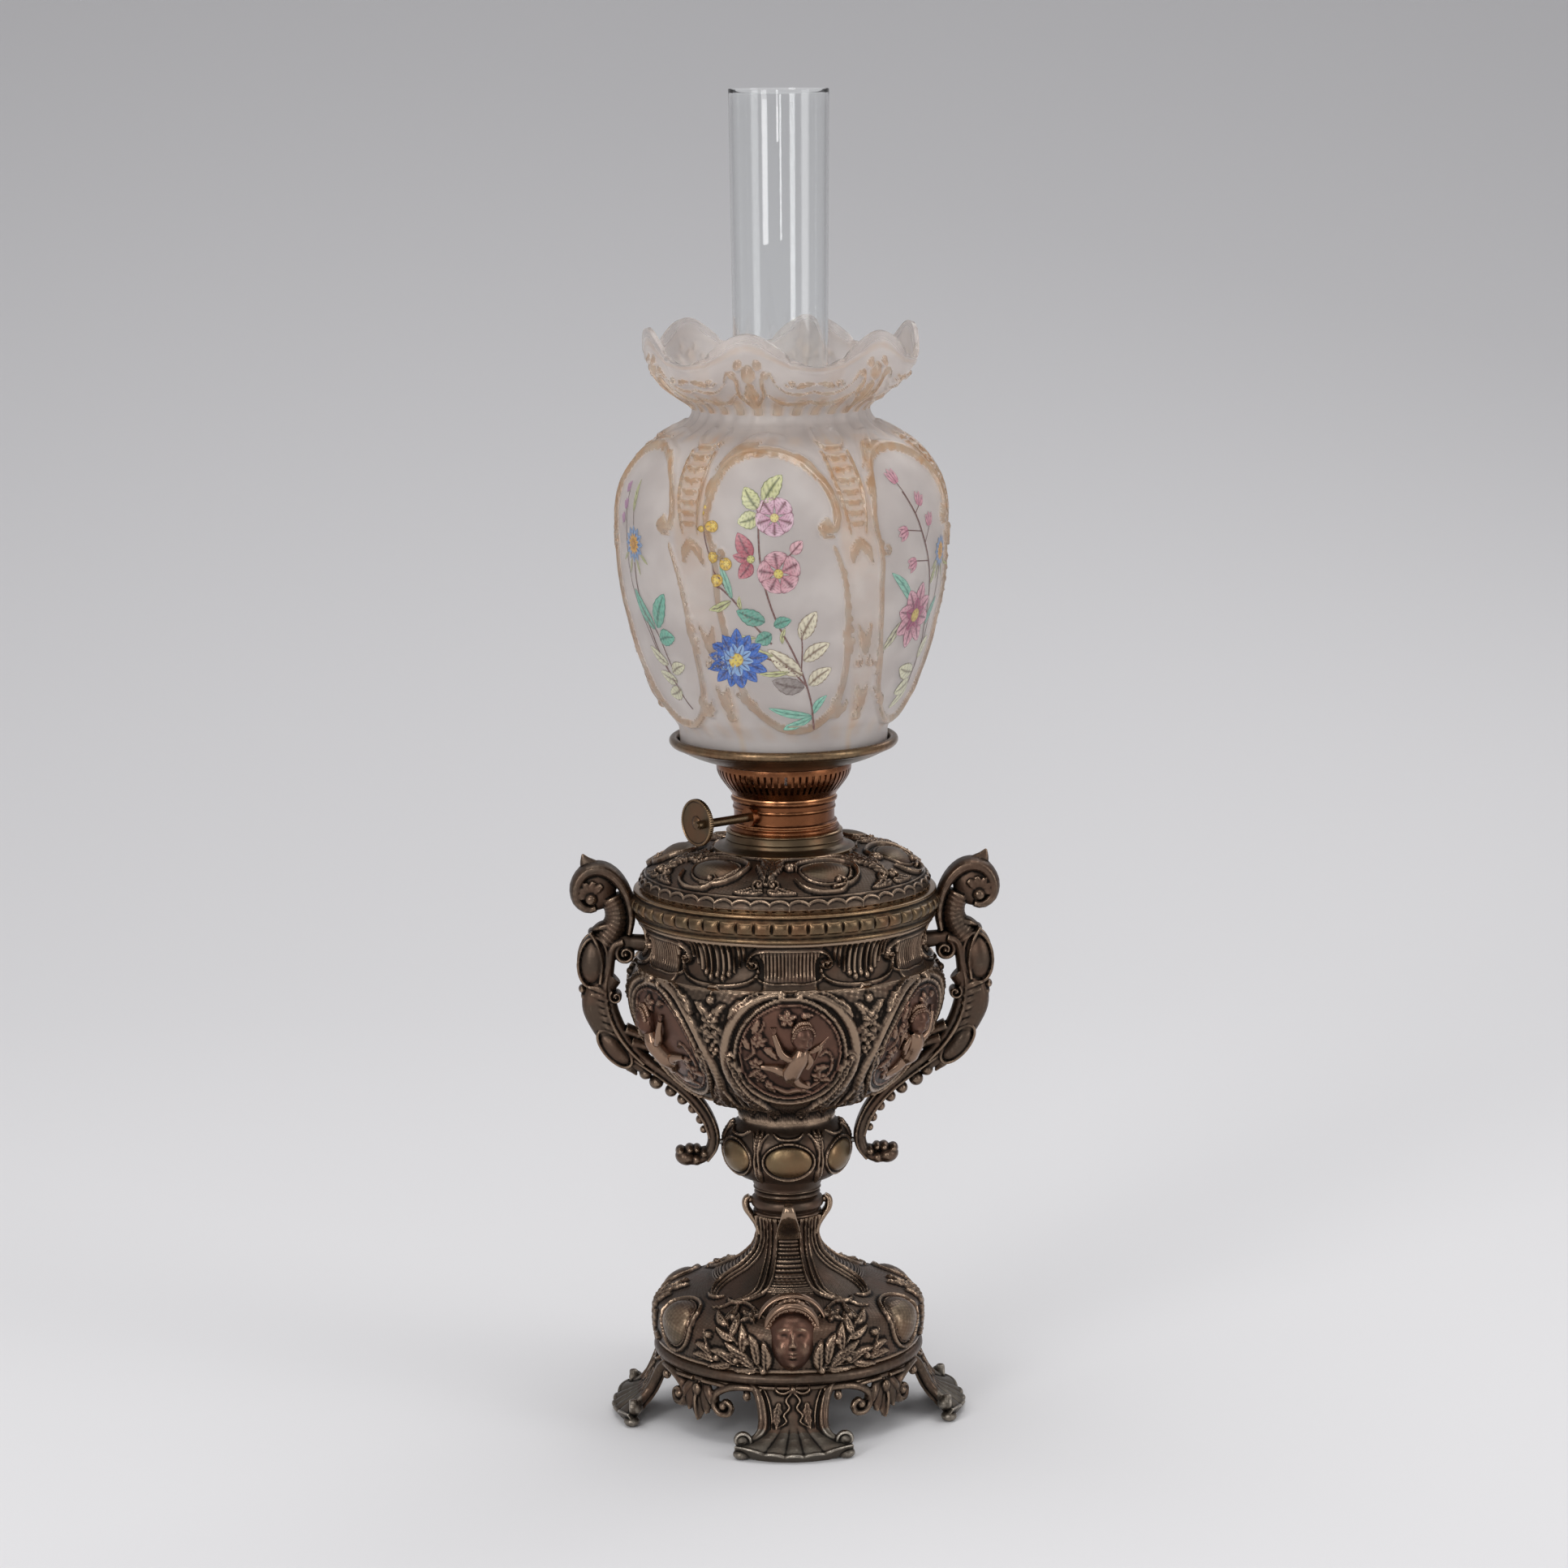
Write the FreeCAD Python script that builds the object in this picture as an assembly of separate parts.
"""Oil lamp: cast urn stand on four feet, drop-in oil font, round-wick burner, shade and chimney.

Millimetres, +Z up, origin on the table under the lamp's axis, front towards -Y.
Every function returns one sub-part; build() writes each of them to parts/NODE.step.
"""
import FreeCAD, Part
import math
import os

V = FreeCAD.Vector

# ---- driving dimensions -------------------------------------------------------------
# Base
FOOT_HEIGHT = 31.0            # table to the underside of the base moulding
FOOT_REACH = 89.0             # lamp axis to a toe's tip
FOOT_WIDTH = 60.0             # across the shell of one toe
FOOT_WAIST = 33.0             # across the narrowest part of a leg
RING_HEIGHT = 7.0             # the moulding that the feet hang from
RING_WIDTH = 9.0
BASE_RADIUS = 65.0
DOME_HEIGHT = 34.0
BASE_WALL = 3.0
PENDANT_DROP = 21.0           # leaf pendants between the feet
PENDANT_WIDTH = 30.0
# Stem
STEM_RADIUS = 14.8
STEM_HEIGHT = 31.0
EAR_REACH = 21.0
COLLAR_RADIUS = 16.4
COLLAR_HEIGHT = 10.0
CUP_HEIGHT = 11.0
CUP_TOP_RADIUS = 19.5
KNOP_RADIUS = 31.0
KNOP_HEIGHT = 30.0
# Urn
WAIST_RADIUS = 24.4
BOWL_RADIUS = 78.0
BOWL_HEIGHT = 102.0
URN_WALL = 2.6
NECK_SHARE = 0.845            # how far the neck stands out, from the waist's radius to the bowl's
BEAD_RING_RADIUS = 74.4
BEAD_RING_HEIGHT = 14.0
RIM_OPENING = 65.0            # radius that the oil font drops through
# Handles
HANDLE_WIDTH = 16.0
ARM_WIDTH = 8.0
HANDLE_STAND = 21.0           # how far a handle stands out past the bowl
# Tie rod
ROD_RADIUS = 3.0
ROD_CLEARANCE = 0.2
NUT_SIZE = 10.0
NUT_HEIGHT = 5.0
WASHER_RADIUS = 9.0
WASHER_THICK = 1.5
# Oil font
FONT_RADIUS = 60.0
FONT_DEPTH = 80.0
FONT_WALL = 1.2
FLANGE_THICK = 1.5
LID_RADIUS = 72.0
LID_HEIGHT = 18.0
LID_WALL = 2.0
NECK_RADIUS = 24.0            # bore that the burner screws into
NECK_WALL = 1.6
FONT_COLLAR_RADIUS = 34.4
FONT_COLLAR_HEIGHT = 9.5
# Burner
BURNER_RADIUS = 25.4
BURNER_HEIGHT = 16.5
BURNER_WALL = 1.0
THREAD_DEPTH = 15.0
THREAD_CLEARANCE = 0.05
FLANGE_RADIUS = BURNER_RADIUS + 1.1
BASKET_RADIUS = 33.3
BASKET_HEIGHT = 16.0
BASKET_WALL = 0.8
SLOT_COUNT = 60
SLOT_WIDTH = 1.4
PRONG_COUNT = 12
# Wick and its raising gear
INNER_TUBE_RADIUS = 8.6
WICK_THICK = 2.0
TUBE_WALL = 0.7
WICK_CLEARANCE = 0.2
WICK_LENGTH = 131.0
WICK_UP = 8.0
WICK_DOWN = 10.0
SHAFT_RADIUS = 2.2
SHAFT_CLEARANCE = 0.05
SHAFT_REACH = 58.0            # lamp axis to the knob's disc
SHAFT_OFFSET = 5.8            # sideways from the lamp axis
KNOB_RADIUS = 11.55
KNOB_AZIMUTH = 217.7
PINION_TEETH = 12
PINION_MODULE = 0.75
PINION_WIDTH = 3.0
BACKLASH = 0.16
# Shade and chimney
RIM_TUBE_RADIUS = 2.35
SHADE_FITTER = 51.3
SHADE_CLEARANCE = 0.25
SHADE_RADIUS = 80.4
SHADE_HEIGHT = 207.0
SHADE_WALL = 2.2
CHIMNEY_RADIUS = 24.5
CHIMNEY_BASE = 29.2
CHIMNEY_HEIGHT = 334.8
CHIMNEY_WALL = 1.8
CHIMNEY_CLEARANCE = 0.4

# ---- levels worked out from them ----------------------------------------------------
RING_Z = FOOT_HEIGHT
DOME_Z = RING_Z + RING_HEIGHT
DOME_TOP_Z = DOME_Z + DOME_HEIGHT
COLLAR_Z = DOME_TOP_Z + STEM_HEIGHT
CUP_Z = COLLAR_Z + COLLAR_HEIGHT
KNOP_Z = CUP_Z + CUP_HEIGHT
URN_Z = KNOP_Z + KNOP_HEIGHT
URN_FLOOR = 6.0
BEAD_RING_Z = URN_Z + BOWL_HEIGHT
FONT_Z = BEAD_RING_Z + BEAD_RING_HEIGHT          # underside of the font's flange
LID_Z = FONT_Z + FLANGE_THICK
FONT_COLLAR_Z = LID_Z + LID_HEIGHT
BURNER_Z = FONT_COLLAR_Z + FONT_COLLAR_HEIGHT    # underside of the burner's flange
BURNER_FLANGE = 1.5
BODY_Z = BURNER_Z + BURNER_FLANGE
BASKET_Z = BODY_Z + BURNER_HEIGHT
GALLERY_Z = BASKET_Z + 0.45 * BASKET_HEIGHT
GALLERY_THICK = 1.0
CHIMNEY_Z = GALLERY_Z + GALLERY_THICK
SHADE_RING_Z = BASKET_Z + BASKET_HEIGHT
SHADE_Z = SHADE_RING_Z + 8.0
SHAFT_Z = BODY_Z + 0.5 * BURNER_HEIGHT
TUBE_TOP_Z = SHADE_RING_Z + 5.0

WICK_INNER = INNER_TUBE_RADIUS + WICK_CLEARANCE
WICK_OUTER = WICK_INNER + WICK_THICK
CARRIER_OUTER = WICK_OUTER + TUBE_WALL
OUTER_TUBE_INNER = CARRIER_OUTER + WICK_CLEARANCE
OUTER_TUBE_RADIUS = OUTER_TUBE_INNER + TUBE_WALL
ROD_HOLE = ROD_RADIUS + ROD_CLEARANCE
BASKET_INNER = BASKET_RADIUS - BASKET_WALL
BASE_CEILING_Z = DOME_TOP_Z
PINION_PITCH = PINION_TEETH * PINION_MODULE / 2


# ---- shaping helpers ----------------------------------------------------------------
def through(points, upright=False):
    """A smooth curve through (radius, height) points in the XZ plane, starting upright if asked."""
    curve = Part.BSplineCurve()
    places = [V(r, 0, z) for r, z in points]
    if upright:
        runs = [0.0]
        for low, high in zip(places, places[1:]):
            runs.append(runs[-1] + (high - low).Length)
        last = (places[-1] - places[-2]).normalize()
        curve.interpolate(Points=places, Parameters=runs, InitialTangent=V(0, 0, 1),
                          FinalTangent=last, Scale=False)
    else:
        curve.interpolate(places)
    return curve


def straight(points):
    """The straight edges that join (radius, height) points in turn."""
    corners = [V(r, 0, z) for r, z in points]
    return [Part.LineSegment(a, b).toShape() for a, b in zip(corners, corners[1:])]


def turned(edges):
    """The solid that a closed outline in the XZ plane sweeps round the lamp's axis."""
    face = Part.Face(Part.Wire(Part.__sortEdges__(edges)))
    return face.revolve(V(0, 0, 0), V(0, 0, 1), 360)


def turned_polygon(points):
    """A turned solid with a straight-edged outline."""
    return turned(straight(points + points[:1]))


def turned_between(outer, inner):
    """A turned solid between an outer and an inner smooth curve, both listed upwards."""
    low = straight([outer[0], inner[0]])
    high = straight([outer[-1], inner[-1]])
    return turned([through(outer).toShape(), through(inner).toShape()] + low + high)


def inset(points, depth, upright=False, samples=60):
    """Points that lie depth to the left of the smooth curve through the given points."""
    curve = through(points, upright)
    shifted = []
    for step in range(samples + 1):
        along = curve.FirstParameter + (curve.LastParameter - curve.FirstParameter) * step / samples
        place = curve.value(along)
        tangent = curve.tangent(along)[0]
        shifted.append((place.x - tangent.z * depth, place.z + tangent.x * depth))
    return shifted


def glass_shell(outer, wall):
    """A blown shell: a straight fitter between the first two points, and a smooth curve above it."""
    body = outer[1:]
    inner = inset(body, wall, upright=True)
    ends = straight([body[0], inner[0]]) + straight([body[-1], inner[-1]])
    upper = turned([through(body, True).toShape(), through(inner, True).toShape()] + ends)
    fitter = tube(outer[0][0], outer[0][0] - wall, outer[0][1], outer[1][1])
    return upper.fuse(fitter).removeSplitter()


def tube(outer, inner, low, high):
    """A plain tube about the lamp's axis."""
    return turned_polygon([(inner, low), (outer, low), (outer, high), (inner, high)])


def cylinder(radius, start, direction, length):
    """A cylinder from a point along a direction."""
    return Part.makeCylinder(radius, length, start, direction)


def turn(shape, degrees):
    """A copy of the shape, turned about the lamp's axis."""
    copy = shape.copy()
    copy.rotate(V(0, 0, 0), V(0, 0, 1), degrees)
    return copy


def mirrored(shape):
    """The shape's twin on the other side of the YZ plane."""
    return shape.mirror(V(0, 0, 0), V(1, 0, 0))


def radial_plate(points, width):
    """A plate of the given width, with its outline in the XZ plane, centred on that plane."""
    face = Part.Face(Part.Wire(straight(points + points[:1])))
    face.translate(V(0, -width / 2, 0))
    return face.extrude(V(0, width, 0))


# ---- base ---------------------------------------------------------------------------
def dome_outline():
    """Outer curve of the base casting, from its rim up to the top of the stem."""
    def flare(share):
        return STEM_RADIUS + share * (BASE_RADIUS - STEM_RADIUS)
    dome = [(1.0, 0.0), (1.022, 0.38), (1.0, 0.60), (0.925, 0.705), (0.80, 0.785), (0.615, 0.92)]
    stem = [(0.263, 0.10), (0.143, 0.21), (0.064, 0.345), (0.014, 0.516), (0.0, 0.68)]
    points = [(BASE_RADIUS * r, DOME_Z + DOME_HEIGHT * z) for r, z in dome]
    points += [(flare(r), DOME_TOP_Z + STEM_HEIGHT * z) for r, z in stem]
    return points + [(COLLAR_RADIUS, COLLAR_Z)]


def ear():
    """One scroll ear that stands beside the stem's collar."""
    gap = COLLAR_RADIUS + 0.4
    foot = COLLAR_Z - 9.0
    top = COLLAR_Z + 0.85 * COLLAR_HEIGHT
    return radial_plate([(STEM_RADIUS - 3, foot), (EAR_REACH - 2, foot + 3), (EAR_REACH, foot + 8),
                         (EAR_REACH, top - 3), (EAR_REACH - 2, top), (gap, top - 2),
                         (gap, COLLAR_Z), (STEM_RADIUS - 3, COLLAR_Z)], 7.0)


def base_casting():
    """The domed base and stem, hollow from below, with a bore for the tie rod."""
    under = [(BASE_RADIUS - BASE_WALL, DOME_Z),
             (1.022 * BASE_RADIUS - BASE_WALL, DOME_Z + 0.38 * DOME_HEIGHT),
             (0.985 * BASE_RADIUS - BASE_WALL, DOME_Z + 0.56 * DOME_HEIGHT),
             (0.80 * BASE_RADIUS, DOME_Z + 0.785 * DOME_HEIGHT - 1.2 * BASE_WALL),
             (0.615 * BASE_RADIUS, DOME_Z + 0.92 * DOME_HEIGHT - 1.2 * BASE_WALL),
             (STEM_RADIUS + 4.0, BASE_CEILING_Z)]
    outer = dome_outline()
    edges = [through(outer).toShape(), through(under).toShape()]
    edges += straight([outer[0], under[0]])
    edges += straight([under[-1], (ROD_HOLE, BASE_CEILING_Z), (ROD_HOLE, COLLAR_Z), outer[-1]])
    casting = turned(edges)
    return casting.fuse([turn(ear(), 90 * side) for side in range(4)]).removeSplitter()


def pendant():
    """One leaf pendant of the apron, on the +X side."""
    outer = BASE_RADIUS - 1.0
    tip = FOOT_HEIGHT - PENDANT_DROP
    half = PENDANT_WIDTH / 2
    leaf = [V(0, -half, RING_Z), V(0, half, RING_Z), V(0, 0.75 * half, tip + 9),
            V(0, 0, tip), V(0, -0.75 * half, tip + 9)]
    face = Part.Face(Part.makePolygon(leaf + leaf[:1]))
    face.translate(V(BASE_RADIUS - RING_WIDTH, 0, 0))
    plate = face.extrude(V(RING_WIDTH, 0, 0))
    return plate.common(tube(outer, outer - 3.0, 0, RING_Z + RING_HEIGHT))


def foot_ring():
    """The moulded ring under the base, with a leaf pendant between each two feet."""
    inner = BASE_RADIUS - RING_WIDTH + 1.0
    top = RING_Z + RING_HEIGHT
    bulge = Part.Arc(V(BASE_RADIUS, 0, RING_Z), V(BASE_RADIUS + 1.6, 0, RING_Z + RING_HEIGHT / 2),
                     V(BASE_RADIUS, 0, top)).toShape()
    sides = straight([(BASE_RADIUS, top), (inner, top), (inner, RING_Z), (BASE_RADIUS, RING_Z)])
    ring = turned([bulge] + sides)
    return ring.fuse([turn(pendant(), 45 + 90 * side) for side in range(4)]).removeSplitter()


def foot():
    """One leg with its shell toe, on the +X side."""
    top = BASE_RADIUS - 1.5
    reach = FOOT_REACH
    outside = through([(top, RING_Z), (top + 1.5, 0.68 * RING_Z), (top + 8, 0.42 * RING_Z),
                       (reach - 7, 0.30 * RING_Z), (reach, 0.20 * RING_Z)])
    inside = through([(reach - 19, 0), (top - 3, 0.35 * RING_Z), (top - 6, RING_Z)])
    close = straight([(reach, 0.20 * RING_Z), (reach, 1.5), (reach - 1.5, 0), (reach - 19, 0)])
    close += straight([(top - 6, RING_Z), (top, RING_Z)])
    side = Part.Face(Part.Wire(Part.__sortEdges__([outside.toShape(), inside.toShape()] + close)))
    side.translate(V(0, -FOOT_WIDTH / 2, 0))
    slab = side.extrude(V(0, FOOT_WIDTH, 0))
    return slab.common(foot_front())


def foot_front():
    """The leg's outline seen from the front: a fan at the toe, a waist, and wider again above."""
    wide, waist = FOOT_WIDTH / 2, FOOT_WAIST / 2
    right = Part.BSplineCurve()
    right.interpolate([V(0, wide, 0.15 * RING_Z), V(0, waist + 2, 0.40 * RING_Z),
                       V(0, waist, 0.62 * RING_Z), V(0, waist + 5, RING_Z)])
    edge = right.toShape()
    twin = edge.mirror(V(0, 0, 0), V(0, 1, 0))
    corners = [V(0, wide, 0.15 * RING_Z), V(0, wide, 0), V(0, -wide, 0), V(0, -wide, 0.15 * RING_Z)]
    lines = [Part.LineSegment(a, b).toShape() for a, b in zip(corners, corners[1:])]
    lines.append(Part.LineSegment(V(0, waist + 5, RING_Z), V(0, -waist - 5, RING_Z)).toShape())
    front = Part.Face(Part.Wire(Part.__sortEdges__([edge, twin] + lines)))
    return front.extrude(V(FOOT_REACH + 1, 0, 0))


# ---- stem pieces --------------------------------------------------------------------
def stem_collar():
    """The round collar on top of the stem."""
    flat = COLLAR_RADIUS - 2.4
    bulge = Part.Arc(V(flat, 0, COLLAR_Z), V(COLLAR_RADIUS, 0, COLLAR_Z + COLLAR_HEIGHT / 2),
                     V(flat, 0, CUP_Z)).toShape()
    sides = straight([(flat, CUP_Z), (ROD_HOLE, CUP_Z), (ROD_HOLE, COLLAR_Z), (flat, COLLAR_Z)])
    return turned([bulge] + sides)


def stem_cup():
    """The flared cup between the collar and the knop."""
    low = COLLAR_RADIUS - 1.0
    return turned_polygon([(ROD_HOLE, CUP_Z), (low, CUP_Z), (low + 1.2, CUP_Z + 0.55 * CUP_HEIGHT),
                           (CUP_TOP_RADIUS, KNOP_Z), (ROD_HOLE, KNOP_Z)])


def knop(pins):
    """The bulging knop under the urn, drilled for the handles' lower pins."""
    low, high = (CUP_TOP_RADIUS, KNOP_Z), (WAIST_RADIUS, URN_Z)
    bulge = Part.Arc(V(low[0], 0, low[1]), V(KNOP_RADIUS, 0, KNOP_Z + 0.48 * KNOP_HEIGHT),
                     V(high[0], 0, high[1])).toShape()
    solid = turned([bulge] + straight([high, (ROD_HOLE, URN_Z), (ROD_HOLE, KNOP_Z), low]))
    return solid.cut(pins)


# ---- urn ----------------------------------------------------------------------------
def urn_outline():
    """Outer curve of the urn, from its waist up to the rim under the bead ring."""
    def at(share, height):
        return (WAIST_RADIUS + share * (BOWL_RADIUS - WAIST_RADIUS), URN_Z + height * BOWL_HEIGHT)
    return [at(0.0, 0.0), at(0.12, 0.095), at(0.42, 0.143), at(0.60, 0.25), at(0.776, 0.353),
            at(0.92, 0.486), at(0.98, 0.583), at(1.0, 0.68), at(0.965, 0.775), at(NECK_SHARE, 0.86),
            at(NECK_SHARE - 0.01, 0.94), at(NECK_SHARE + 0.025, 1.0)]


def urn_solid():
    """The urn's outside as one full solid, which the handles are fitted against."""
    outer = urn_outline()
    sides = straight([outer[-1], (0, BEAD_RING_Z), (0, URN_Z), outer[0]])
    return turned([through(outer).toShape()] + sides)


def urn_body(pins):
    """The hollow urn, with a solid floor for the tie rod's nut."""
    wall = inset(urn_outline(), URN_WALL)
    floor_z = URN_Z + URN_FLOOR
    inner = [point for point in wall if point[1] > floor_z + 6.0 and point[1] < BEAD_RING_Z - 3.0]
    inner = [(WAIST_RADIUS - 2 * URN_WALL, floor_z)] + inner[::4] + [(RIM_OPENING, BEAD_RING_Z)]
    sides = straight([inner[-1], (0, BEAD_RING_Z), (0, floor_z), inner[0]])
    hollow = turned([through(inner).toShape()] + sides)
    bore = cylinder(ROD_HOLE, V(0, 0, URN_Z - 1), V(0, 0, 1), URN_FLOOR + 2)
    return urn_solid().cut([hollow, bore] + pins)


def bead_ring():
    """The brass ring on the urn's rim that carries the beads and the font's flange."""
    r, h = BEAD_RING_RADIUS, BEAD_RING_HEIGHT
    z = BEAD_RING_Z
    rim = urn_outline()[-1][0]
    return turned_polygon([(RIM_OPENING, z), (rim, z), (r - 1.6, z + 0.12 * h), (r - 1.6, z + 0.3 * h),
                           (r, z + 0.36 * h), (r, z + 0.72 * h), (r - 1.2, z + 0.8 * h),
                           (r - 1.2, z + h), (RIM_OPENING, z + h)])


# ---- handles ------------------------------------------------------------------------
def handle_path():
    """Points (x, z, half thickness) down the right handle, from crest to curl."""
    out = BOWL_RADIUS
    stand = HANDLE_STAND
    span = BOWL_RADIUS - KNOP_RADIUS

    def high(share, height, half):
        return (out + share * stand, URN_Z + height * BOWL_HEIGHT, half)

    def arm(share, height, half):
        return (KNOP_RADIUS + share * span, URN_Z + height * BOWL_HEIGHT, half)
    return [high(0.90, 1.16, 8.5), high(0.25, 1.06, 6.5), high(0.42, 0.93, 7.0), high(0.74, 0.77, 9.0),
            high(0.70, 0.61, 8.0), high(0.40, 0.45, 7.0), arm(1.0, 0.31, 5.5), arm(0.80, 0.20, 3.8),
            arm(0.50, 0.11, 3.2), arm(0.25, 0.0, 3.0), arm(0.13, -0.10, 2.6)]


def ribbon(path, width):
    """A bar whose centre line and half thickness follow the path, flat on both sides."""
    spine = Part.BSplineCurve()
    spine.interpolate([V(x, 0, z) for x, z, half in path])
    left, right = [], []
    for x, z, half in path:
        tangent = spine.tangent(spine.parameter(V(x, 0, z)))[0]
        left.append((x + tangent.z * half, z - tangent.x * half))
        right.append((x - tangent.z * half, z + tangent.x * half))
    ends = straight([left[0], right[0]]) + straight([left[-1], right[-1]])
    edges = [through(left).toShape(), through(right).toShape()] + ends
    face = Part.Face(Part.Wire(Part.__sortEdges__(edges)))
    face.translate(V(0, -width / 2, 0))
    return face.extrude(V(0, width, 0))


def upper_pin_z():
    """Height of the screw that holds a handle to the urn's neck."""
    return URN_Z + 0.86 * BOWL_HEIGHT


def neck_radius():
    """Outer radius of the urn's neck at the handle's screw."""
    return WAIST_RADIUS + NECK_SHARE * (BOWL_RADIUS - WAIST_RADIUS)


def lower_pin_z():
    """Height of the pin that holds a handle's arm to the knop."""
    return KNOP_Z + 0.52 * KNOP_HEIGHT


def handle_pin(side):
    """The screw through the urn's neck and the pin in the knop, for one handle."""
    head = neck_radius() - URN_WALL - 1.0
    upper = cylinder(1.6, V(side * head, 0, upper_pin_z()), V(side, 0, 0), BOWL_RADIUS + 4 - head)
    lower = cylinder(1.4, V(side * (KNOP_RADIUS - 8), 0, lower_pin_z()), V(side, 0, 0), 12.0)
    return [upper, lower]


def screw_head(side):
    """The head of the screw, inside the urn's neck."""
    seat = neck_radius() - URN_WALL - 0.8
    return cylinder(3.2, V(side * seat, 0, upper_pin_z()), V(-side, 0, 0), 2.0)


def handle_screws():
    """Both handles' screws and pins, as separate solids."""
    solids = []
    for side in (1, -1):
        upper, lower = handle_pin(side)
        solids += [upper.fuse(screw_head(side)).removeSplitter(), lower]
    return Part.makeCompound(solids)


def handle(pins):
    """The right handle: upper scroll, lug to the urn, slim lower arm and its curl."""
    path = handle_path()
    scroll = ribbon(path[:7], HANDLE_WIDTH)
    arm = ribbon(path[5:], ARM_WIDTH)
    end_x, end_z, end_half = path[-1]
    curl = ribbon([(end_x, end_z + 3, end_half), (end_x + 1.5, end_z - 4.5, 2.6),
                   (end_x + 9, end_z - 9.5, 2.6), (end_x + 15.5, end_z - 5.5, 3.4)], ARM_WIDTH)
    head_x, head_z, head_half = path[0]
    head = cylinder(head_half + 1.0, V(head_x, -HANDLE_WIDTH / 2, head_z), V(0, 1, 0), HANDLE_WIDTH)
    crest = radial_plate([(head_x - 7, head_z + 6), (head_x + 6, head_z + 6),
                          (head_x + 2.5, head_z + 15.5)], 4.0)
    lug = cylinder(5.0, V(neck_radius() - 4, 0, upper_pin_z()), V(1, 0, 0), BOWL_RADIUS + 10 - neck_radius())
    toe = cylinder(2.6, V(KNOP_RADIUS - 3, 0, lower_pin_z()), V(1, 0, 0), 9.0)
    blank = scroll.fuse([arm, curl, head, crest, lug, toe])
    ring = tube(BEAD_RING_RADIUS + 0.2, 1.0, BEAD_RING_Z - 1, FONT_Z + LID_HEIGHT)
    lid = tube(LID_RADIUS + 1.5, 1.0, FONT_Z - 1, FONT_Z + LID_HEIGHT)
    fitted = blank.cut([urn_solid(), knop([]), ring, lid] + pins)
    return fitted.removeSplitter()


# ---- tie rod ------------------------------------------------------------------------
def tie_levels():
    """Heights of the lower and the upper washer's seats."""
    return BASE_CEILING_Z, URN_Z + URN_FLOOR


def tie_rod():
    """The rod that clamps the base, stem pieces and urn together."""
    low, high = tie_levels()
    spare = WASHER_THICK + NUT_HEIGHT + 3.0
    return cylinder(ROD_RADIUS, V(0, 0, low - spare), V(0, 0, 1), high - low + 2 * spare)


def tie_washers():
    """A washer at each end of the tie rod."""
    low, high = tie_levels()
    lower = tube(WASHER_RADIUS, ROD_HOLE, low - WASHER_THICK, low)
    upper = tube(WASHER_RADIUS, ROD_HOLE, high, high + WASHER_THICK)
    return Part.makeCompound([lower, upper])


def hex_nut(z):
    """A hexagon nut on the tie rod, standing on the given level."""
    corner = NUT_SIZE / math.sqrt(3)
    points = [V(corner * math.cos(math.radians(60 * k)), corner * math.sin(math.radians(60 * k)), z)
              for k in range(7)]
    body = Part.Face(Part.makePolygon(points)).extrude(V(0, 0, NUT_HEIGHT))
    return body.cut(cylinder(ROD_RADIUS, V(0, 0, z - 1), V(0, 0, 1), NUT_HEIGHT + 2))


def tie_nuts():
    """The nut at each end of the tie rod."""
    low, high = tie_levels()
    return Part.makeCompound([hex_nut(low - WASHER_THICK - NUT_HEIGHT), hex_nut(high + WASHER_THICK)])


# ---- oil font -----------------------------------------------------------------------
def oil_font():
    """The spun oil pot with its flange and its neck, open only at the neck."""
    r, wall, neck = FONT_RADIUS, FONT_WALL, NECK_RADIUS + NECK_WALL
    flange, top = LID_RADIUS - 1.0, FONT_Z + FLANGE_THICK
    bottom = FONT_Z - FONT_DEPTH
    belly = bottom + 0.45 * FONT_DEPTH
    shoulder = bottom + 0.22 * FONT_DEPTH
    outside = [(0, bottom), (0.55 * r, bottom), (0.9 * r, shoulder), (r, belly), (r, FONT_Z),
               (flange, FONT_Z), (flange, top), (neck, top), (neck, FONT_COLLAR_Z + 1.0)]
    inside = [(NECK_RADIUS, FONT_COLLAR_Z + 1.0), (NECK_RADIUS, FONT_Z), (r - wall, FONT_Z),
              (r - wall, belly), (0.9 * r - wall, shoulder + 0.5 * wall), (0.55 * r, bottom + wall),
              (0, bottom + wall)]
    return turned_polygon(outside + inside)


def dome_lid():
    """The domed cover on top of the font."""
    hole = NECK_RADIUS + NECK_WALL + 0.2
    outer = [(1.0, 0.0), (0.985, 0.14), (0.93, 0.44), (0.85, 0.67), (0.775, 0.84), (0.625, 0.95)]
    crown = [(LID_RADIUS * r, LID_Z + LID_HEIGHT * z) for r, z in outer]
    crown.append((FONT_COLLAR_RADIUS, FONT_COLLAR_Z))
    under = [(r - LID_WALL, z) if z < LID_Z + 0.5 * LID_HEIGHT else (r - 0.5 * LID_WALL, z - LID_WALL)
             for r, z in crown]
    edges = [through(crown).toShape(), through(under).toShape()] + straight([crown[0], under[0]])
    edges += straight([under[-1], (hole, FONT_COLLAR_Z - LID_WALL), (hole, FONT_COLLAR_Z), crown[-1]])
    return turned(edges)


def font_collar():
    """The ring on the font's neck that the burner screws down on."""
    z, top = FONT_COLLAR_Z, BURNER_Z
    neck = NECK_RADIUS + NECK_WALL
    return turned_polygon([(neck, z), (FONT_COLLAR_RADIUS, z), (FONT_COLLAR_RADIUS, z + 1.5),
                           (neck + 3.6, z + 3.2), (neck + 2.8, top), (NECK_RADIUS, top),
                           (NECK_RADIUS, z + 1.0), (neck, z + 1.0)])


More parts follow.
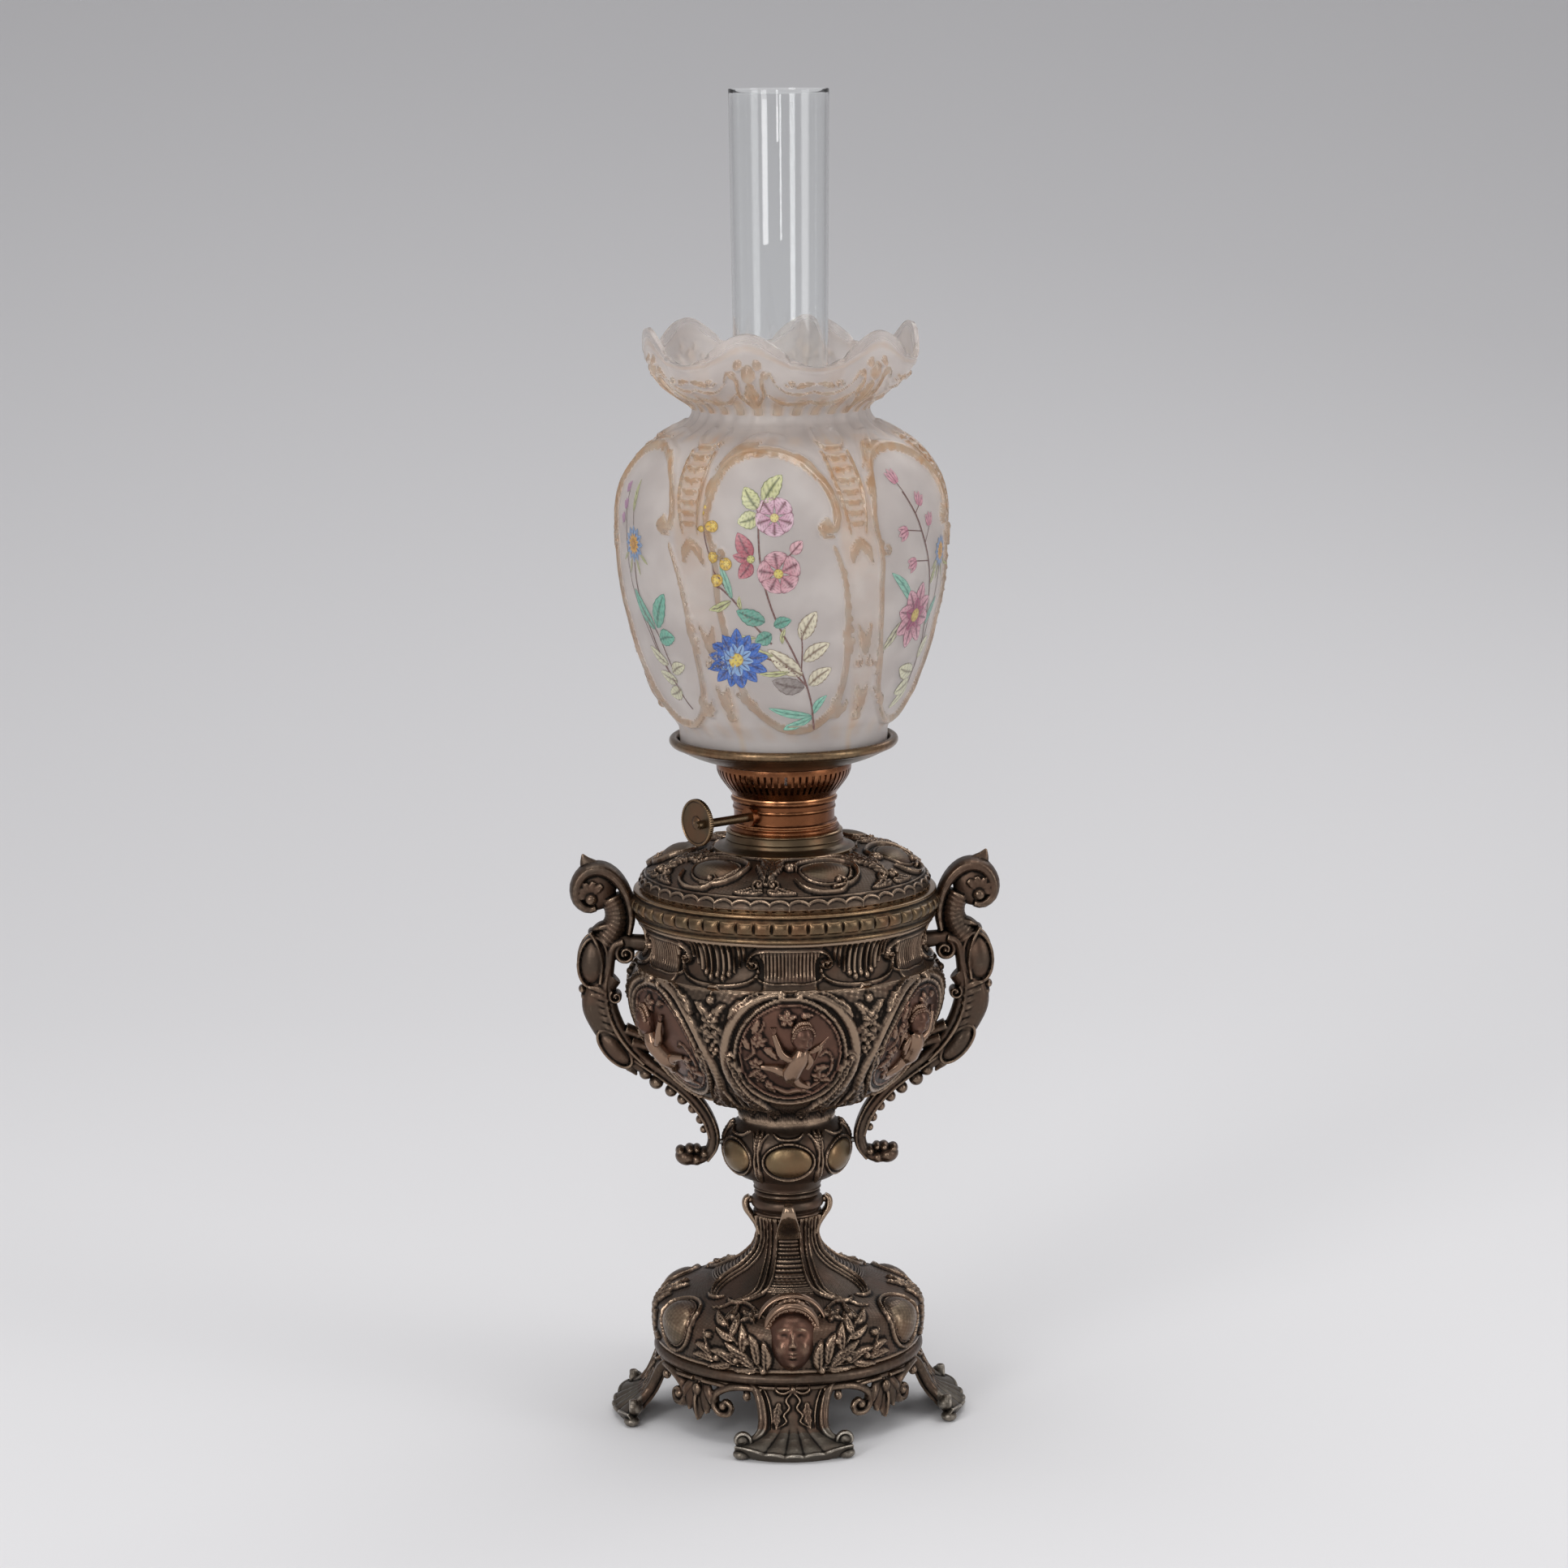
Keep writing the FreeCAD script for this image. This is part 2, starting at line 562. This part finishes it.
# ---- burner -------------------------------------------------------------------------
def burner_ring():
    """The threaded ring that screws into the font's neck, with its deck and beaded flange."""
    r = NECK_RADIUS - THREAD_CLEARANCE
    low = BURNER_Z - THREAD_DEPTH
    deck = low + 1.5
    return turned_polygon([(OUTER_TUBE_RADIUS, low), (r, low), (r, BURNER_Z), (FLANGE_RADIUS, BURNER_Z),
                           (FLANGE_RADIUS, BODY_Z), (r - 1.4, BODY_Z), (r - 1.4, deck),
                           (OUTER_TUBE_RADIUS, deck)])


def burner_body(bushing_hole):
    """The banded drum of the burner, drilled for the shaft's bushing."""
    r, z, h, wall = BURNER_RADIUS, BODY_Z, BURNER_HEIGHT, BURNER_WALL
    drum = turned_polygon([(r - 0.8 - wall, z), (r, z), (r, z + 0.16 * h), (r - 0.8, z + 0.2 * h),
                           (r - 0.8, z + 0.72 * h), (r, z + 0.77 * h), (r, z + 0.9 * h), (r - 0.6, z + h),
                           (r - 0.8 - wall, z + h)])
    return drum.cut(bushing_hole)


def basket_outline():
    """Outer curve of the air basket, upwards."""
    low = BURNER_RADIUS + 0.2
    rise = BASKET_RADIUS - low
    return [(low, BASKET_Z), (low + 0.48 * rise, BASKET_Z + 0.32 * BASKET_HEIGHT),
            (low + 0.92 * rise, BASKET_Z + 0.66 * BASKET_HEIGHT), (BASKET_RADIUS, SHADE_RING_Z)]


def basket_shell():
    """The basket's wall before its slots are cut."""
    outer = basket_outline()
    inner = [(r - BASKET_WALL * (1.5 if z < BASKET_Z + 1 else 1.0), z) for r, z in outer]
    return turned_between(outer, inner)


def burner_basket():
    """The slotted basket that lets air to the flame and carries the shade's ring."""
    shell = basket_shell()
    seat = tube(basket_outline()[0][0] - 0.5, BURNER_RADIUS - 1.8, BASKET_Z, BASKET_Z + 0.8)
    slot = Part.makeBox(BASKET_RADIUS, SLOT_WIDTH, 0.62 * BASKET_HEIGHT,
                        V(BURNER_RADIUS, -SLOT_WIDTH / 2, BASKET_Z + 0.22 * BASKET_HEIGHT))
    slots = [turn(slot, 360.0 * k / SLOT_COUNT) for k in range(SLOT_COUNT)]
    return shell.fuse(seat).removeSplitter().cut(Part.makeCompound(slots))


def gallery_rim():
    """Radius at which the chimney gallery's plate meets the middle of the basket's wall."""
    share = (GALLERY_Z - BASKET_Z) / BASKET_HEIGHT
    ring = through(basket_outline()).toShape()
    line = Part.makeLine(V(0, 0, BASKET_Z + share * BASKET_HEIGHT),
                         V(2 * BASKET_RADIUS, 0, BASKET_Z + share * BASKET_HEIGHT))
    return ring.distToShape(line)[1][0][0].x - 0.5 * BASKET_WALL


def chimney_gallery():
    """The plate that the chimney stands on and the spring prongs round it."""
    prong_inner = CHIMNEY_BASE + CHIMNEY_CLEARANCE
    prong_outer = prong_inner + 0.6
    plate = tube(max(gallery_rim(), prong_outer), BURNER_RADIUS - 3.0, GALLERY_Z, CHIMNEY_Z)
    prongs = tube(prong_outer, prong_inner, GALLERY_Z, SHADE_RING_Z - 1.5)
    gap = Part.makeBox(2 * CHIMNEY_BASE, 2.2, BASKET_HEIGHT, V(0, -1.1, CHIMNEY_Z + 0.5))
    gaps = [turn(gap, 360.0 * k / PRONG_COUNT) for k in range(PRONG_COUNT)]
    return plate.fuse(prongs).removeSplitter().cut([basket_shell()] + gaps)


# ---- wick and its raising gear ------------------------------------------------------
def shaft_frame():
    """Placement whose X points sideways, Y up and Z out along the raising shaft."""
    a = math.radians(KNOB_AZIMUTH)
    side, out = V(-math.sin(a), math.cos(a), 0), V(math.cos(a), math.sin(a), 0)
    matrix = FreeCAD.Matrix(side.x, 0, out.x, 0, side.y, 0, out.y, 0, 0, 1, 0, SHAFT_Z, 0, 0, 0, 1)
    return FreeCAD.Placement(matrix)


def placed(shape):
    """The shape, moved from the shaft's frame to the lamp's."""
    moved = shape.copy()
    moved.Placement = shaft_frame().multiply(moved.Placement)
    return moved


def along_shaft(radius, low, high):
    """A cylinder on the shaft's axis, in the shaft's frame."""
    return cylinder(radius, V(SHAFT_OFFSET, 0, low), V(0, 0, 1), high - low)


def pinion_span():
    """Where the pinion starts and ends along the shaft."""
    start = OUTER_TUBE_RADIUS + 1.6
    return start, start + PINION_WIDTH


def bushing_span():
    """Where the shaft's bushing starts and ends along the shaft."""
    wall = math.sqrt((BURNER_RADIUS - 0.8) ** 2 - SHAFT_OFFSET ** 2)
    return wall - 5.0, wall + 3.0


def shaft_bushing():
    """The flanged bushing in the burner's drum that the shaft turns in."""
    low, high = bushing_span()
    flange = along_shaft(SHAFT_RADIUS + 2.6, high, high + 1.2)
    sleeve = along_shaft(SHAFT_RADIUS + 1.4, low, high).fuse(flange)
    bore = along_shaft(SHAFT_RADIUS + SHAFT_CLEARANCE, low - 1, high + 3)
    return placed(sleeve.removeSplitter().cut(bore))


def bushing_hole():
    """The hole in the burner's drum for the bushing's sleeve."""
    low, high = bushing_span()
    return placed(along_shaft(SHAFT_RADIUS + 1.4, low, high))


def wick_shaft():
    """The raising shaft, stepped down for the pinion and riveted over at the knob."""
    start, end = pinion_span()
    stub = along_shaft(SHAFT_RADIUS - 0.7, start, end + 0.5)
    bar = along_shaft(SHAFT_RADIUS, end + 0.5, SHAFT_REACH + 1.6)
    rivet = along_shaft(SHAFT_RADIUS - 0.6, SHAFT_REACH, SHAFT_REACH + 2.4)
    return placed(stub.fuse([bar, rivet]).removeSplitter())


def wick_knob():
    """The flat disc knob with its raised rim."""
    r = KNOB_RADIUS
    outline = [(SHAFT_RADIUS, -0.2), (r - 1.6, -0.2), (r - 1.6, -0.9), (r, -0.9), (r, 1.5), (r - 1.6, 1.5),
               (r - 1.6, 0.8), (5.0, 0.8), (4.2, 1.3), (SHAFT_RADIUS, 1.3)]
    disc = turned_polygon(outline)
    disc.translate(V(SHAFT_OFFSET, 0, SHAFT_REACH))
    return placed(disc)


def involute_point(base, radius):
    """Angle and radius of the involute of the base circle at the given radius."""
    pressure = math.acos(min(1.0, base / radius))
    return math.tan(pressure) - pressure


def tooth_points(centre_angle):
    """One pinion tooth's outline, from its first root to its last."""
    pitch = PINION_PITCH
    base = pitch * math.cos(math.radians(20))
    root, tip = pitch - 0.85, pitch + 0.65
    half = (math.pi * PINION_MODULE / 2 - BACKLASH) / (2 * pitch) + involute_point(base, pitch)
    flank = [base, (base + pitch) / 2, pitch, (pitch + tip) / 2, tip]
    rising = [(r, -(half - involute_point(base, r))) for r in flank]
    falling = [(r, -angle) for r, angle in reversed(rising)]
    outline = [(root, -half)] + rising + falling + [(root, half)]
    return [V(r * math.cos(centre_angle + a), r * math.sin(centre_angle + a), 0) for r, a in outline]


def wick_pinion():
    """The pinion on the shaft's inner end, one tooth pointing at the rack."""
    start, end = pinion_span()
    points = []
    for tooth in range(PINION_TEETH):
        points += tooth_points(math.pi + 2 * math.pi * tooth / PINION_TEETH)
    gear = Part.Face(Part.makePolygon(points + points[:1])).extrude(V(0, 0, PINION_WIDTH))
    gear.translate(V(SHAFT_OFFSET, 0, start))
    return placed(gear.cut(along_shaft(SHAFT_RADIUS - 0.7, start - 1, end + 1)))


def rack_outline():
    """The rack's outline in the shaft's frame: teeth towards the pinion, a space at its level."""
    pitch_line = SHAFT_OFFSET - PINION_PITCH
    step = math.pi * PINION_MODULE
    slope = math.tan(math.radians(20))
    tip, root = pitch_line + 0.25, pitch_line - 0.95
    half = (step / 2 - BACKLASH) / 2
    back = root - 1.9
    low, high = -(WICK_UP + 1.6 * step), WICK_DOWN + 1.6 * step
    first = math.ceil((low + half) / step - 0.5) + 1
    last = math.floor((high - half) / step - 0.5) - 1
    points = [(back, low), (root, low)]
    for tooth in range(first, last + 1):
        middle = (tooth + 0.5) * step
        points += [(root, middle - half - 0.95 * slope), (tip, middle - half + 0.25 * slope),
                   (tip, middle + half - 0.25 * slope), (root, middle + half + 0.95 * slope)]
    return points + [(root, high), (back, high)]


def wick_carrier():
    """The split sleeve that grips the wick, with the rack on its side."""
    low, high = SHAFT_Z - WICK_UP - 3.0, SHAFT_Z + WICK_DOWN + 3.0
    sleeve = tube(CARRIER_OUTER, WICK_OUTER, low, high).cut(seam_gap(3.0))
    start, end = pinion_span()
    outline = [V(u, v, 0) for u, v in rack_outline()]
    rack = Part.Face(Part.makePolygon(outline + outline[:1])).extrude(V(0, 0, PINION_WIDTH + 0.6))
    rack.translate(V(0, 0, start - 0.3))
    back = rack_outline()[0][0]
    web = Part.makeBox(1.2, high - low, start - WICK_OUTER, V(back + 0.2, low - SHAFT_Z, WICK_OUTER))
    return sleeve.fuse([placed(rack), placed(web)]).cut(tube(WICK_OUTER, 0.1, low - 1, high + 1))


def seam_gap(width):
    """A block that opens a tube's side opposite the raising shaft."""
    block = Part.makeBox(width, 400, 4 * BURNER_RADIUS, V(-width / 2, -250, -4 * BURNER_RADIUS))
    return placed(block)


def wick():
    """The woven wick, folded round the draught tube with its seam open."""
    top = TUBE_TOP_Z - 2.0
    return tube(WICK_OUTER, WICK_INNER, top - WICK_LENGTH, top).cut(seam_gap(2.6))


def inner_wick_tube():
    """The draught tube inside the wick, with the fin that fixes it in the wick's seam."""
    low, high = BURNER_Z - THREAD_DEPTH, TUBE_TOP_Z
    sleeve = tube(INNER_TUBE_RADIUS, INNER_TUBE_RADIUS - TUBE_WALL, low, high)
    fin_low, fin_high = low + 2 - SHAFT_Z, high - 10 - SHAFT_Z
    fin = Part.makeBox(1.0, fin_high - fin_low, OUTER_TUBE_INNER - INNER_TUBE_RADIUS + 0.4,
                       V(-0.5, fin_low, -OUTER_TUBE_INNER))
    return sleeve.fuse(placed(fin)).removeSplitter()


def outer_wick_tube():
    """The tube outside the wick, slotted for the rack's web."""
    shell = tube(OUTER_TUBE_RADIUS, OUTER_TUBE_INNER, BURNER_Z - THREAD_DEPTH, TUBE_TOP_Z)
    back = rack_outline()[0][0]
    low = -(WICK_UP + WICK_DOWN + 4.0)
    slot = Part.makeBox(2.4, -2 * low, 2 * OUTER_TUBE_RADIUS, V(back - 0.4, low, WICK_OUTER - 3.0))
    return shell.cut(placed(slot))


# ---- shade and chimney --------------------------------------------------------------
def shade_ring():
    """The dished ring with a rolled rim that holds the shade."""
    z, seat = SHADE_RING_Z, SHADE_Z
    inner = BASKET_INNER - 0.5
    wall_r = SHADE_FITTER + SHADE_CLEARANCE
    tube_r = wall_r + RIM_TUBE_RADIUS
    tube_z = seat + RIM_TUBE_RADIUS + 0.2
    dish = turned_polygon([(inner - 0.8, z - 2), (inner, z - 2), (inner, z), (BASKET_RADIUS + 1.2, z),
                           (0.82 * wall_r, z + 0.45 * (seat - z)), (wall_r + 1.2, seat - 1.2),
                           (wall_r + 1.2, tube_z), (wall_r, tube_z), (wall_r, seat), (wall_r - 3.2, seat),
                           (0.82 * wall_r, z + 0.45 * (seat - z) + 1.1), (BASKET_RADIUS + 1.0, z + 1.1),
                           (inner - 0.8, z + 1.1)])
    rim = Part.makeTorus(tube_r, RIM_TUBE_RADIUS, V(0, 0, tube_z), V(0, 0, 1))
    return dish.fuse(rim).removeSplitter()


def shade_outline():
    """Outer curve of the shade, from its fitter up to its rim."""
    def at(share, height):
        return (SHADE_FITTER + share * (SHADE_RADIUS - SHADE_FITTER), SHADE_Z + height * SHADE_HEIGHT)
    return [at(0.0, 0.0), at(0.0, 0.045), at(0.47, 0.17), at(0.71, 0.26), at(0.89, 0.377), at(1.0, 0.49),
            at(0.97, 0.587), at(0.80, 0.657), at(0.395, 0.725), at(-0.18, 0.771), at(-0.30, 0.795),
            at(-0.22, 0.822), at(0.18, 0.863), at(0.42, 0.905), at(0.54, 0.952), at(0.61, 1.0)]


def shade():
    """The blown glass shade, open at both ends, with its rim as a plain flare."""
    return glass_shell(shade_outline(), SHADE_WALL)


def chimney():
    """The glass chimney, drawn in above the flame and widening slowly to its mouth."""
    z, h, r = CHIMNEY_Z, CHIMNEY_HEIGHT, CHIMNEY_RADIUS
    base = CHIMNEY_BASE
    outer = [(base, z), (base, z + 0.06 * h), (0.97 * base, z + 0.085 * h), (0.80 * r, z + 0.135 * h),
             (0.82 * r, z + 0.17 * h), (0.93 * r, z + 0.30 * h), (0.95 * r, z + 0.66 * h), (r, z + h)]
    return glass_shell(outer, CHIMNEY_WALL)


# ---- assembly -----------------------------------------------------------------------
def stand_parts():
    """The sub-parts of the stand, which stays on the table."""
    right_pins, left_pins = handle_pin(1), handle_pin(-1)
    pins = right_pins + left_pins
    right = handle(right_pins)
    parts = {"base_casting": base_casting(), "foot_ring": foot_ring(), "stem_collar": stem_collar(),
             "stem_cup": stem_cup(), "knop": knop(pins), "urn_body": urn_body(pins), "bead_ring": bead_ring(),
             "handle_right": right, "handle_left": mirrored(right), "handle_screws": handle_screws(),
             "tie_rod": tie_rod(), "tie_washers": tie_washers(), "tie_nuts": tie_nuts()}
    for name, azimuth in (("right", 0), ("back", 90), ("left", 180), ("front", 270)):
        parts["foot_" + name] = turn(foot(), azimuth)
    return parts


def lamp_parts():
    """The oil font, the burner with its wick, the shade and the chimney."""
    return {"oil_font": oil_font(), "dome_lid": dome_lid(), "font_collar": font_collar(),
            "burner_ring": burner_ring(), "burner_body": burner_body(bushing_hole()),
            "burner_basket": burner_basket(), "chimney_gallery": chimney_gallery(),
            "inner_wick_tube": inner_wick_tube(), "outer_wick_tube": outer_wick_tube(),
            "shaft_bushing": shaft_bushing(), "wick_shaft": wick_shaft(), "wick_knob": wick_knob(),
            "wick_pinion": wick_pinion(), "wick_carrier": wick_carrier(), "wick": wick(),
            "shade_ring": shade_ring(), "shade": shade(), "chimney": chimney()}


def build():
    """Write every sub-part to its own STEP file and print its size."""
    os.makedirs("parts", exist_ok=True)
    parts = {**stand_parts(), **lamp_parts()}
    for name, shape in parts.items():
        if not shape.isValid():
            raise ValueError(name + " isn't a valid solid")
        shape.exportStep("parts/" + name + ".step")
        box = shape.BoundBox
        print(f"{name:16s} solids {len(shape.Solids)}  volume {shape.Volume / 1000:8.2f} cm3  "
              f"z {box.ZMin:7.2f} to {box.ZMax:7.2f}  reach {max(box.XMax, -box.XMin):6.2f}")


build()
